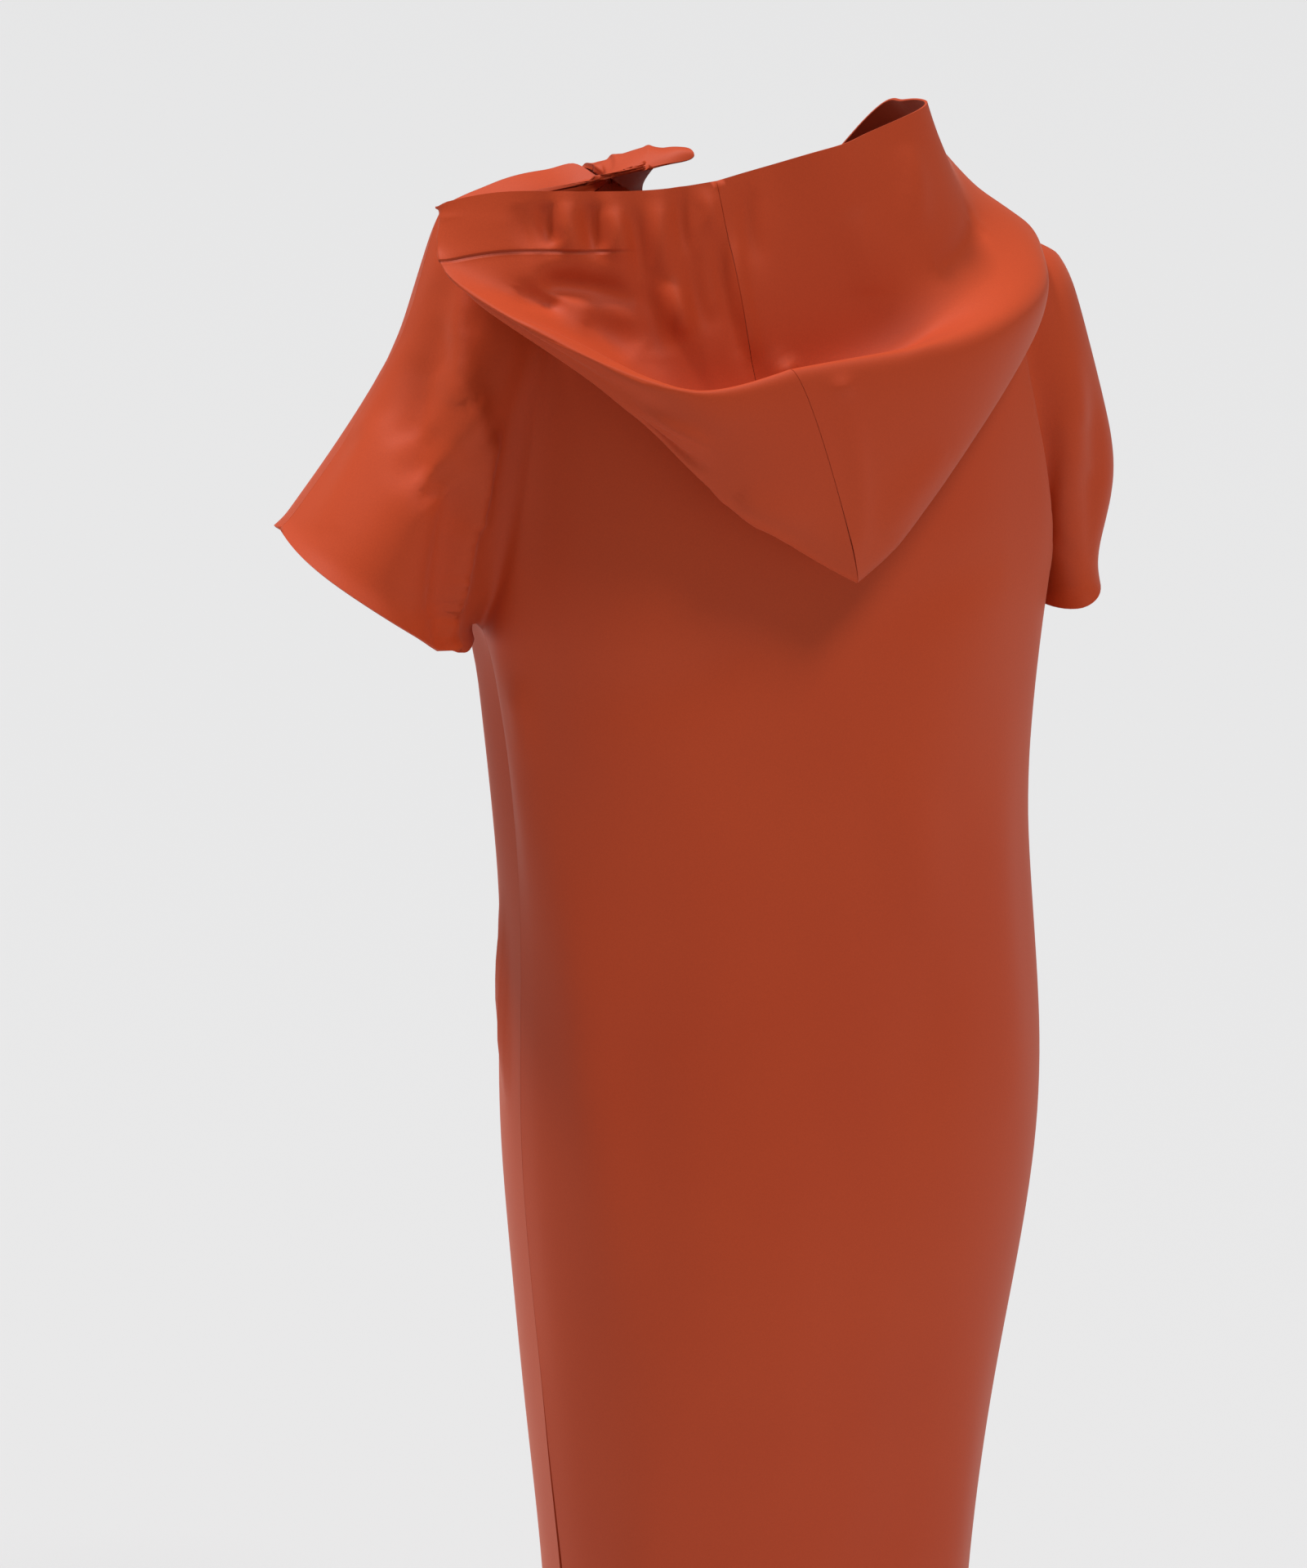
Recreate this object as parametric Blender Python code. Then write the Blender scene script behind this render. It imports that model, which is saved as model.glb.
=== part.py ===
"""A hoodie dress as it hangs when worn: kimono-cut back and front panels with short wide sleeves, and a
large two-panel hood lying down behind the neck. Metres, +Z up; the wearer faces -Y and +X is the left side.
The origin lies between the shoulders at the base of the neck."""

import math

import bpy
import numpy as np
from mathutils import Vector
from mathutils.bvhtree import BVHTree

MM = 0.001
WALL = 1.8 * MM
SEAM_GAP = 0.3 * MM
HEM_HEIGHT = -1170 * MM
CENTRE_LEVEL = -280 * MM
SLIT_TOP = -820 * MM
SLIT_SPREAD = 14 * MM
HOOD_CLEARANCE = 4 * MM
UPPER_CLEARANCE = 14 * MM
HOOD_HEM = 35 * MM
HOOD_HEM_EXTRA = 0.9 * MM
CLOTH_COLOUR = (0.50, 0.09, 0.035, 1.0)
CLOTH_ROUGHNESS = 0.7

BODY_COLUMNS = 11
SLEEVE_COLUMNS = 8
TOP_ROWS = 13
SKIRT_ROWS = 17
CUFF_ROWS = 2
CUFF_TRIES = 16
LEFT, RIGHT = 1, -1
BACK, FRONT = 1, -1


class Table:
    """Rows of sizes in millimetres under named columns, read between the rows along a smooth curve."""

    def __init__(self, columns, *rows):
        rows = np.array(sorted(rows), float)
        self.places = {name: place for place, name in enumerate(columns.split()[1:])}
        self.keys = rows[:, 0]
        self.values = rows[:, 1:]
        self.slopes = np.gradient(self.values, self.keys, axis=0)

    def at(self, key, names):
        """The named columns where the first column equals key; the end rows hold beyond the table."""
        key = min(max(key, self.keys[0]), self.keys[-1])
        low = min(int(np.searchsorted(self.keys, key, side="right")), len(self.keys) - 1) - 1
        width = self.keys[low + 1] - self.keys[low]
        t = (key - self.keys[low]) / width
        row = (
            (1 + 2 * t) * (1 - t) ** 2 * self.values[low]
            + t * (1 - t) ** 2 * width * self.slopes[low]
            + t * t * (3 - 2 * t) * self.values[low + 1]
            - t * t * (1 - t) * width * self.slopes[low + 1]
        )
        return row[[self.places[name] for name in names.split()]]


# A row for each height of the body: half its width, its depth behind and in front, how far it leans to
# the left, and how square it is.
BODY = Table(
    "height half_width behind front lean square",
    (40, 150, 96, 98, 0, 2.2),
    (-60, 168, 104, 114, 0, 2.3),
    (-120, 178, 112, 124, -1, 2.4),
    (-200, 182, 119, 130, -4, 2.5),
    (-270, 181, 122, 127, -6, 2.5),
    (-350, 178, 122, 120, -5, 2.4),
    (-500, 186, 121, 116, -11, 2.3),
    (-620, 194, 128, 120, -14, 2.3),
    (-720, 185, 127, 120, -13, 2.3),
    (-820, 173, 120, 115, -8, 2.3),
    (-1000, 156, 110, 108, -7, 2.3),
    (-1170, 154, 106, 106, -6, 2.3),
)

# A row for each height of a sleeve: where its middle lies outward and back, and half its width and depth.
SLEEVE_SECTIONS = "height out back half_width half_depth"
SLEEVES = {
    LEFT: Table(
        SLEEVE_SECTIONS,
        (0, 172, 0, 44, 50),
        (-60, 180, 2, 46, 58),
        (-95, 187, 2, 50, 63),
        (-120, 197, 2, 55, 66),
        (-165, 222, 2, 63, 70),
        (-200, 243, 3, 71, 74),
        (-260, 270, 5, 82, 80),
        (-310, 286, 5, 88, 82),
    ),
    RIGHT: Table(
        SLEEVE_SECTIONS,
        (0, 172, 0, 44, 50),
        (-60, 180, -5, 46, 58),
        (-100, 182, -9, 46, 66),
        (-154, 196, -14, 48, 72),
        (-200, 212, -19, 44, 78),
        (-250, 212, -23, 28, 82),
        (-282, 214, -25, 27, 82),
        (-330, 218, -26, 26, 82),
    ),
}

# For each side: the underarm point's height, the height of the cuff where it lies outward by cuff_out,
# how much the cuff rises for each millimetre outward and forward, how far it sags between its seams, how
# far round the sleeve its underarm seam lies, how far round the body the ridge before the armhole stands
# and how far round the sleeve its bulge lies (all in degrees), and how far the body widens at the underarm.
SIDES = {
    LEFT: {
        "underarm": -262,
        "cuff": -203,
        "cuff_out": 310,
        "rise_out": 0.66,
        "rise_forward": 0.05,
        "sag": 9,
        "seam_turn": 0,
        "ridge": 62,
        "bulge": 80,
        "flare": 4,
    },
    RIGHT: {
        "underarm": -264,
        "cuff": -256,
        "cuff_out": 260,
        "rise_out": 0.4,
        "rise_forward": 0.12,
        "sag": 4,
        "seam_turn": 20,
        "ridge": 52,
        "bulge": 72,
        "flare": 4,
    },
}

# A row for each place along the shoulder seam, from the neckline outward: its height on each side.
SHOULDER = Table(
    "out left right",
    (110, 12, -14),
    (150, 13, -26),
    (175, 8, -38),
    (205, -9, -58),
)
NECK_SIDE = 120
NECKLINE_BACK = Table("turn deep height", (0, 86, -24), (45, 62, -12), (90, 0, 8))
NECKLINE_FRONT = Table("turn deep height", (0, 104, -92), (45, 74, -52), (90, 0, 8))

# A row for each section of the hood, from centre front round to the nape. It names where the section
# leaves the neckline (turn, from 0 at the back to 180 at the front) and then, as sideways, back and
# height, the pouch's outer fold, its rim, the bottom of the dip behind the neck, and the face edge.
HOOD_SECTIONS = (
    "section turn fold_x fold_y fold_z rim_x rim_y rim_z dip_x dip_y dip_z face_x face_y face_z"
)
HOOD = {
    LEFT: Table(
        HOOD_SECTIONS,
        (0.00, 176, 6, -112, -86, 7, -113, -82, 7, -112, -78, 6, -110, -72),
        (0.14, 142, 70, -80, -42, 64, -78, -36, 58, -75, -30, 52, -70, -22),
        (0.28, 108, 104, -20, 6, 89, -19, 7, 73, -18, 8, 57, -16, 9),
        (0.40, 80, 106, 25, 7, 90, 28, 9, 73, 32, 10, 56, 38, 10),
        (0.48, 61, 106, 47, 4, 102, 50, 6, 98, 53, 8, 94, 56, 10),
        (0.54, 52, 140, 54, -8, 144, 52, -2, 146, 50, 2, 146, 48, 5),
        (0.60, 44, 222, 46, -32, 232, 44, -22, 232, 41, -15, 229, 36, -8),
        (0.70, 34, 198, 88, -68, 206, 98, -58, 200, 80, -46, 196, 60, 4),
        (0.80, 24, 146, 128, -106, 158, 142, -84, 142, 106, -84, 148, 76, 4),
        (0.90, 12, 82, 148, -172, 106, 168, -102, 90, 126, -132, 102, 86, 4),
        (1.00, 0, -8, 152, -236, 48, 169, -86, 46, 130, -136, 64, 88, 8),
    ),
    RIGHT: Table(
        HOOD_SECTIONS,
        (0.00, 176, 6, -112, -86, 7, -113, -82, 7, -112, -78, 6, -110, -72),
        (0.14, 142, 104, -84, -66, 96, -84, -50, 84, -82, -38, 60, -76, -22),
        (0.28, 112, 158, -34, -40, 150, -33, -26, 124, -28, -4, 84, -18, 34),
        (0.42, 86, 178, 14, -56, 174, 16, -40, 142, 14, -14, 88, 10, 42),
        (0.56, 64, 166, 66, -84, 166, 70, -62, 128, 50, -34, 76, 34, 38),
        (0.70, 44, 124, 112, -116, 124, 118, -76, 94, 92, -60, 44, 62, 30),
        (0.84, 24, 70, 142, -166, 62, 152, -84, 46, 118, -92, 4, 78, 22),
        (1.00, 0, 8, 152, -236, -48, 169, -86, -46, 130, -136, -64, 88, 8),
    ),
}
HOOD_STATIONS = 20
DRESS_RELAXING = 3
HOOD_RELAXING = 1
HOOD_STEPS = (1, 2, 2, 2, 1, 1, 4, 5, 5)
HOOD_FOLD_STEP = 8

# A row for each large fold: the panel's face, where it lies along the half panel (0 centre, 1 side seam,
# 2 overarm seam), its top and bottom heights, its width along the panel, how far it stands out (a hollow
# is negative), and how far it wanders along the panel by its foot.
FOLD_COLUMNS = "side facing along top bottom width stands wander"
FOLDS = (
    (LEFT, BACK, 0.88, -60, -460, 0.11, 13, 0.02),
    (LEFT, BACK, 1.18, -70, -330, 0.15, -9, 0.00),
    (LEFT, BACK, 1.55, -60, -330, 0.20, 5, 0.00),
    (LEFT, BACK, 0.52, -300, -900, 0.22, 6, -0.22),
    (LEFT, BACK, 0.20, -180, -700, 0.20, -5, 0.10),
    (RIGHT, BACK, 0.25, -240, -620, 0.18, 5, 0.22),
    (RIGHT, BACK, 0.60, -140, -560, 0.16, -5, 0.06),
    (RIGHT, BACK, 0.88, -100, -420, 0.14, 8, 0.00),
    (LEFT, FRONT, 0.82, -70, -480, 0.14, 10, 0.03),
    (LEFT, FRONT, 0.45, -200, -760, 0.20, 5, -0.10),
    (LEFT, FRONT, 1.45, -70, -320, 0.20, 5, 0.00),
    (RIGHT, FRONT, 0.84, -80, -440, 0.14, 10, 0.00),
    (RIGHT, FRONT, 0.40, -240, -820, 0.20, 5, 0.12),
    (RIGHT, FRONT, 1.50, -80, -320, 0.20, -4, 0.00),
)

# The side seam: how far round the body it lies low down, and between which heights it gets there.
SEAM_ANGLE_LOW = 77.0
SEAM_LEVELS = (-300 * MM, -470 * MM)
FLARE_REACH = 70

# How a half panel's columns are spread over its four lines (panel, flank, inner and outer sleeve), how
# many points each line has, and how the body runs into the sleeve above the underarm.
COLUMN_MARKS = (0, 0.68, 1, 1.35, 2)
LINE_POINTS = 25
BRIDGE_POINTS = 17
BRIDGE_PULL = 0.42
MERGE_RISE = 185 * MM
MERGE_POWER = 1.8

# The top edge: the share of the body's columns that start on the neckline, where the seam's column starts
# on the shoulder, where the shoulder seam ends, and how the cloth falls from there onto its sections.
NECK_SHARE = 0.62
SEAM_OUT = 172
SHOULDER_END = 205
FALL_DEPTH = Table("along depth power", (0, 170, 1.35), (0.62, 120, 1.8), (1, 105, 2.0), (2, 72, 2.0))
ROWS_CURVED = 0.7

# The cuff is found by this share of the way at each try. Folds fade out this near to the seams. A sleeve
# column starts just outside the seam, so that it hangs on the sleeve's side of it.
CUFF_SHARE = 0.6
FOLD_FADE_INNER, FOLD_FADE_OVERARM = 0.12, 0.15
JUST_OUTSIDE = 1e-6
SLIT_START = 1 * MM
SHARPEST_CORNER = 0.5

# The hood: how it lies on the shoulders between the neckline and the fold (at which shares of the way, how
# clear, and from what reach on), how round its roll at the neckline and its outer fold are.
NECK_LIFT = SEAM_GAP + 0.6 * WALL
HOOD_LEAST = 4 * MM
LAID_SHARES = (0.36, 0.76)
LAID_CLEARANCE = 1.5 * HOOD_CLEARANCE
LAID_FROM, LAID_FULL = 25 * MM, 70 * MM
ROLL_SHARE = 0.15
HOOD_ROLL = 5 * MM
HOOD_FOLD = 5 * MM
FOLD_SHARE = 0.05
FLAT_SHARE = 0.25
UPPER_STEPS = 2
CLEAR_SLOPE = 0.6


def mix(a, b, t):
    return a + (b - a) * t


def eased(t):
    t = min(max(t, 0.0), 1.0)
    return t * t * (3 - 2 * t)


def rounded_rise(t):
    """A quarter of a circle: straight up from 0, level at 1."""
    t = min(max(t, 0.0), 1.0)
    return math.sqrt(1 - (1 - t) ** 2)


def body_ring(side, height, angles):
    """The body's ring at a height; an angle turns from the centre back (0) to the centre front (180)."""
    half_width, behind, front, lean, square = BODY.at(height / MM, "half_width behind front lean square")
    spread = SIDES[side]["flare"] * math.exp(-(((height / MM - SIDES[side]["underarm"]) / FLARE_REACH) ** 2))
    turn = np.radians(angles)
    across = np.abs(np.sin(turn)) ** (2 / square)
    along = np.sign(np.cos(turn)) * np.abs(np.cos(turn)) ** (2 / square)
    depth = np.where(along > 0, behind, front)
    x = side * (half_width + spread) * across + lean
    return np.stack([x, depth * along], axis=-1) * MM


def sleeve_ring(side, height, angles):
    """The sleeve's ring at a height; an angle turns from the underarm (0) round to the overarm (180),
    positive behind and negative in front."""
    out, back, half_width, half_depth = SLEEVES[side].at(height / MM, "out back half_width half_depth")
    turn = np.radians(angles)
    x = side * (out - half_width * np.cos(turn))
    return np.stack([x, back + half_depth * np.sin(turn)], axis=-1) * MM


def seam_angle(height):
    """The side seam leaves the underarm at the very side and lies a little behind it lower down."""
    high, low = SEAM_LEVELS
    return mix(90.0, SEAM_ANGLE_LOW, eased((high - height) / (high - low)))


def half_section(side, facing, height):
    """Four lines that follow one half panel at a height: the body to its ridge, the ridge to the seam, the
    seam to the sleeve's bulge, and on to the overarm. Above the underarm the body and the sleeve run into
    each other across a valley that is shallower higher up."""
    merged = rounded_rise((height - SIDES[side]["underarm"] * MM) / MERGE_RISE) ** MERGE_POWER
    centre = 0.0 if facing == BACK else 180.0
    ridge = abs(centre - SIDES[side]["ridge"])
    turned = mix(seam_angle(height), ridge, merged)
    bulge = facing * SIDES[side]["bulge"]
    valley = mix(SIDES[side]["seam_turn"], bulge, merged)
    panel = body_ring(side, height, np.linspace(centre, ridge, LINE_POINTS))
    flank = body_ring(side, height, np.linspace(ridge, turned, LINE_POINTS))
    inner = sleeve_ring(side, height, np.linspace(valley, bulge, LINE_POINTS))
    outer = sleeve_ring(side, height, np.linspace(bulge, facing * 180.0, LINE_POINTS))
    if merged > 0:
        start, end = flank[-1], inner[0]
        pull = BRIDGE_PULL * np.linalg.norm(end - start)
        before, after = body_ring(side, height, turned + np.array([-1, 1]) * facing * 0.5)
        out = start + (after - before) / np.linalg.norm(after - before) * pull
        before, after = sleeve_ring(side, height, valley + np.array([-1, 1]) * facing * 0.5)
        into = end - (after - before) / np.linalg.norm(after - before) * pull
        t = np.linspace(0, 1, BRIDGE_POINTS)[:, None]
        bridge = (1 - t) ** 3 * start + 3 * (1 - t) ** 2 * t * out + 3 * (1 - t) * t * t * into + t**3 * end
        middle = BRIDGE_POINTS // 2
        flank = np.vstack([flank, bridge[1 : middle + 1]])
        inner = np.vstack([bridge[middle:-1], inner])
    return panel, flank, inner, outer


def along_line(points, share):
    """The point at a share of a line's length."""
    lengths = np.concatenate([[0], np.cumsum(np.linalg.norm(np.diff(points, axis=0), axis=1))])
    return np.array([np.interp(share * lengths[-1], lengths, points[:, k]) for k in range(points.shape[1])])


def top_point(side, facing, along):
    """Where a column of the panel starts: on the neckline, or on the shoulder seam beyond it."""
    height = "left" if side == LEFT else "right"
    if along < NECK_SHARE:
        neckline = NECKLINE_BACK if facing == BACK else NECKLINE_FRONT
        turn = 90 * along / NECK_SHARE
        deep, low = neckline.at(turn, "deep height")
        shift = SHOULDER.at(NECK_SIDE, height)[0] - NECKLINE_BACK.at(90, "height")[0]
        across = math.sin(math.radians(turn))
        x = side * NECK_SIDE * across
        return np.array([x, facing * deep, low + shift * across**2]) * MM
    if along < 1:
        out = mix(NECK_SIDE, SEAM_OUT, (along - NECK_SHARE) / (1 - NECK_SHARE))
    else:
        out = mix(SEAM_OUT, SHOULDER_END, along - 1)
    return np.array([side * out, 0, SHOULDER.at(out, height)[0]]) * MM


def column_point(side, facing, along, height):
    """A point of a panel's column, which curves over from its top and then hangs on the section."""
    lines = half_section(side, facing, height)
    for line, start, end in zip(lines, COLUMN_MARKS, COLUMN_MARKS[1:]):
        if along <= end:
            ring = along_line(line, (along - start) / (end - start))
            break
    top = top_point(side, facing, along)
    depth, power = FALL_DEPTH.at(along, "depth power")
    t = min(max((top[2] - height) / (depth * MM), 0.0), 1.0)
    spread = (1 - (1 - t) ** power) ** (1 / power)
    return np.array([*mix(top[:2], ring, spread), height])


def cuff_height(side, facing, along):
    """The cuff is cut on a slant: it rises outward, and toward the front on a forward arm."""
    cut = SIDES[side]
    height = cut["cuff"] * MM
    for _ in range(CUFF_TRIES):
        x, y, _z = column_point(side, facing, along, height)
        rise = cut["rise_out"] * (side * x - cut["cuff_out"] * MM) - cut["rise_forward"] * y
        rise -= cut["sag"] * MM * math.sin(math.pi * min(along - 1, 1))
        height = mix(height, cut["cuff"] * MM + rise, CUFF_SHARE)
    return height


def fold_height(side, facing, along, height):
    """How far the folds move a point of the panel out."""
    moved = 0.0
    for row in FOLDS:
        fold = dict(zip(FOLD_COLUMNS.split(), row))
        if fold["side"] != side or fold["facing"] != facing:
            continue
        down = (fold["top"] * MM - height) / ((fold["top"] - fold["bottom"]) * MM)
        if not 0 < down < 1:
            continue
        middle = fold["along"] + fold["wander"] * down
        moved += fold["stands"] * MM * math.sin(math.pi * down) * math.exp(
            -(((along - middle) / fold["width"]) ** 2)
        )
    seams = eased(abs(along - 1) / FOLD_FADE_INNER) * eased((2 - along) / FOLD_FADE_OVERARM)
    return moved * seams


def slit_shift(height):
    """How far each panel's edge stands back from the other below the top of the side slit."""
    if height >= SLIT_TOP:
        return 0.0
    return mix(SLIT_START, SLIT_SPREAD / 2, eased((SLIT_TOP - height) / (SLIT_TOP - HEM_HEIGHT)))


def side_columns(side, facing):
    """Lists of points down each column of one half panel: the body's columns, and the sleeve's."""
    underarm = SIDES[side]["underarm"] * MM
    body, sleeve = [], []
    down = [0.5 - 0.5 * math.cos(math.pi * r / TOP_ROWS) for r in range(TOP_ROWS + 1)]
    down = [mix(r / TOP_ROWS, curved, ROWS_CURVED) for r, curved in enumerate(down)]
    for column in range(BODY_COLUMNS + 1):
        along = column / BODY_COLUMNS
        top = top_point(side, facing, along)[2]
        level = mix(CENTRE_LEVEL, underarm, along)
        heights = [mix(top, level, t) for t in down]
        heights += [mix(level, HEM_HEIGHT, (r + 1) / SKIRT_ROWS) for r in range(SKIRT_ROWS)]
        body.append([(along, h) for h in heights])
    inner_cuff = cuff_height(side, facing, 1.0 + JUST_OUTSIDE)
    for column in range(SLEEVE_COLUMNS + 1):
        along = 1 + column / SLEEVE_COLUMNS
        top = top_point(side, facing, along)[2]
        end = cuff_height(side, facing, max(along, 1.0 + JUST_OUTSIDE))
        share = (top_point(side, facing, 1.0)[2] - underarm) / (
            top_point(side, facing, 1.0)[2] - inner_cuff
        )
        middle = mix(top, end, share)
        heights = [mix(top, middle, t) for t in down]
        heights += [mix(middle, end, (r + 1) / CUFF_ROWS) for r in range(CUFF_ROWS)]
        sleeve.append([(along + (JUST_OUTSIDE if column == 0 else 0), h) for h in heights])
    return body, sleeve


class Cloth:
    """Quads on shared points. A seam's points are shared by both pieces, so both turn the same way there."""

    def __init__(self):
        self.points = []
        self.numbers = {}
        self.pieces = {}

    def number(self, point, edge="", key=None):
        key = key or (*(round(float(c) * 1e6) for c in point), edge)
        if key not in self.numbers:
            self.numbers[key] = len(self.points)
            self.points.append(np.array(point, float))
        return self.numbers[key]

    def add(self, piece, grid, turned):
        """Adds a grid of point numbers, given as columns, whose faces look outward."""
        for left, right in zip(grid, grid[1:]):
            for a, b, c, d in zip(left, right, right[1:], left[1:]):
                quad = [a, b, c, d]
                if len(set(quad)) == 4:
                    self.pieces.setdefault(piece, []).append(quad[::-1] if turned else quad)

    def normals(self):
        """The outward direction at every point, from the faces of all pieces round it."""
        points = np.array(self.points)
        normals = np.zeros_like(points)
        for quads in self.pieces.values():
            corners = points[np.array(quads)]
            across = np.cross(corners[:, 2] - corners[:, 0], corners[:, 3] - corners[:, 1])
            across /= np.linalg.norm(across, axis=1, keepdims=True)
            for k in range(4):
                np.add.at(normals, np.array(quads)[:, k], across)
        return normals / np.linalg.norm(normals, axis=1, keepdims=True)


def panel_grids(cloth, side, facing, piece, folds):
    """Numbers the points of one half panel: a grid of the body's columns and a grid of the sleeve's."""
    shared = []
    for name, columns in zip(("body", "sleeve"), side_columns(side, facing)):
        seam = len(columns) - 1 if name == "body" else 0
        grid = []
        for c, column in enumerate(columns):
            numbers = []
            for r, (along, height) in enumerate(column):
                if c == seam and r < len(shared):
                    numbers.append(shared[r])
                    continue
                point = column_point(side, facing, along, height)
                edge = ""
                if c == seam and r == TOP_ROWS:
                    turn = SIDES[side]["seam_turn"]
                    point[:2] = (body_ring(side, height, 90) + sleeve_ring(side, height, turn)) / 2
                if name == "body" and c == seam and slit_shift(height) > 0:
                    point[1] += facing * slit_shift(height)
                    edge = piece
                key = (side, "underarm seam", r) if name == "sleeve" and c == seam else None
                numbers.append(cloth.number(point, edge, key))
                folds[numbers[-1]] = fold_height(side, facing, along, height)
            grid.append(numbers)
        shared = grid[-1][: TOP_ROWS + 1]
        yield grid


def relaxed(cloth, rounds):
    """The points after each inner one has moved halfway to the middle of its neighbours, some rounds over."""
    edges = {(a, b) for quads in cloth.pieces.values() for q in quads for a, b in zip(q, q[1:] + q[:1])}
    rim = np.array(sorted({n for a, b in edges if (b, a) not in edges for n in (a, b)}))
    starts, ends = np.array(sorted(edges | {(b, a) for a, b in edges})).T
    points = np.array(cloth.points)
    counts = np.bincount(starts, minlength=len(points))[:, None]
    for _ in range(rounds):
        middles = np.zeros_like(points)
        np.add.at(middles, starts, points[ends])
        moved = mix(points, middles / counts, 0.5)
        moved[rim] = points[rim]
        points = moved
    return list(points)


def dress_cloth():
    """The back and front panels as one surface, with the folds raised on it."""
    cloth = Cloth()
    folds = {}
    for facing, piece in ((BACK, "back_panel"), (FRONT, "front_panel")):
        for side in (LEFT, RIGHT):
            for grid in panel_grids(cloth, side, facing, piece, folds):
                cloth.add(piece, grid, turned=side * facing < 0)
    cloth.points = relaxed(cloth, DRESS_RELAXING)
    stands = np.array([folds[n] for n in range(len(cloth.points))])
    cloth.points = list(np.array(cloth.points) + cloth.normals() * stands[:, None])
    return cloth


def curve_through(knots, steps):
    """A smooth curve through knots, with the given number of steps in each stretch."""
    knots = np.array(knots)
    padded = np.vstack([2 * knots[0] - knots[1], knots, 2 * knots[-1] - knots[-2]])
    spans = np.maximum(np.sqrt(np.linalg.norm(np.diff(padded, axis=0), axis=1)), 1e-4)
    points = [knots[0]]
    for k, count in enumerate(steps):
        before, start, end, after = padded[k : k + 4]
        d0, d1, d2 = spans[k : k + 3]
        into = ((start - before) / d0 - (end - before) / (d0 + d1) + (end - start) / d1) * d1
        out = ((end - start) / d1 - (after - start) / (d1 + d2) + (after - end) / d2) * d1
        for t in np.linspace(0, 1, count + 1)[1:]:
            points.append(
                (2 * t**3 - 3 * t * t + 1) * start + (t**3 - 2 * t * t + t) * into
                + (3 * t * t - 2 * t**3) * end + (t**3 - t * t) * out
            )
    return np.array(points)


def lifted(tree, point, clearance):
    """The point, moved out of the cloth below it until it is clear."""
    near, normal, _face, _distance = tree.find_nearest(Vector(point))
    height = (Vector(point) - near).dot(normal)
    return point + np.array(normal) * max(0.0, clearance - height)


def laid(tree, point, clearance):
    """The point, brought onto the cloth below it, clear of it."""
    near, normal, _face, _distance = tree.find_nearest(Vector(point))
    return np.array(near) + np.array(normal) * clearance


def hood_section(side, station, tree):
    """Points of the hood from the neckline over the pouch's outer fold and rim to the face edge."""
    turn = HOOD[side].at(station, "turn")[0]
    facing = BACK if turn <= 90 else FRONT
    neck = top_point(side, facing, NECK_SHARE * (turn if turn <= 90 else 180 - turn) / 90)
    neck = neck + np.array([0, 0, NECK_LIFT])
    fold, rim, dip, face = (
        HOOD[side].at(station, f"{name}_x {name}_y {name}_z") * MM * (side, 1, 1)
        for name in ("fold", "rim", "dip", "face")
    )
    reach = np.linalg.norm(fold - neck)
    lying = eased((reach - LAID_FROM) / (LAID_FULL - LAID_FROM))
    under = []
    for share in LAID_SHARES:
        straight = mix(neck, fold, share)
        under.append(mix(straight, laid(tree, straight, LAID_CLEARANCE), lying))
    roll = mix(neck, under[0], ROLL_SHARE) + np.array([0, 0, HOOD_ROLL * lying])
    into = mix(rim, under[-1], 0.5) - fold
    into /= np.linalg.norm(into)
    aside = laid(tree, fold, 1.0) - laid(tree, fold, 0.0)
    aside -= into * aside.dot(into)
    aside /= np.linalg.norm(aside)
    round_off = min(HOOD_FOLD, FOLD_SHARE * reach)
    before, after = (
        mix(mix(fold, beside, FLAT_SHARE), fold + round_off * (into + way * aside), lying)
        for way, beside in ((-1, under[-1]), (1, rim))
    )
    knots = [neck, roll, *under, before, fold, after, rim, dip, face]
    points = curve_through(knots, HOOD_STEPS)
    travelled = np.concatenate([[0], np.cumsum(np.linalg.norm(np.diff(points, axis=0), axis=1))])
    upper = [lying * eased((k - HOOD_FOLD_STEP) / UPPER_STEPS) for k in range(len(points))]
    clear = np.minimum(mix(HOOD_CLEARANCE, UPPER_CLEARANCE, np.array(upper)), CLEAR_SLOPE * travelled)
    return np.array([lifted(tree, p, c) if c > 0 else p for p, c in zip(points, clear)])


def hood_cloth(tree):
    """The two hood panels as one surface that meets along the crown seam."""
    cloth = Cloth()
    hem = {}
    neckline = set()
    for side, piece in ((LEFT, "hood_left"), (RIGHT, "hood_right")):
        grid = []
        for station in np.linspace(0, 1, HOOD_STATIONS + 1):
            points = hood_section(side, station, tree)
            steps = np.linalg.norm(np.diff(points, axis=0), axis=1)
            from_edge = np.concatenate([np.cumsum(steps[::-1])[::-1], [0]])
            numbers = [cloth.number(p, piece if station == 0 else "") for p in points]
            hem.update({n: HOOD_HEM_EXTRA * (far < HOOD_HEM) for n, far in zip(numbers, from_edge)})
            neckline.add(numbers[0])
            grid.append(numbers)
        cloth.add(piece, grid, turned=side > 0)
    least = [NECK_LIFT if n in neckline else HOOD_LEAST for n in range(len(cloth.points))]
    cloth.points = [lifted(tree, p, c) for p, c in zip(relaxed(cloth, HOOD_RELAXING), least)]
    return cloth, np.array([hem[n] for n in range(len(cloth.points))])


def open_edges(quads):
    """The edges of a piece that only one face uses, in the direction that the face gives them."""
    used = {}
    for quad in quads:
        for a, b in zip(quad, quad[1:] + quad[:1]):
            used[(a, b)] = True
    return [(a, b) for a, b in used if (b, a) not in used]


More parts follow.
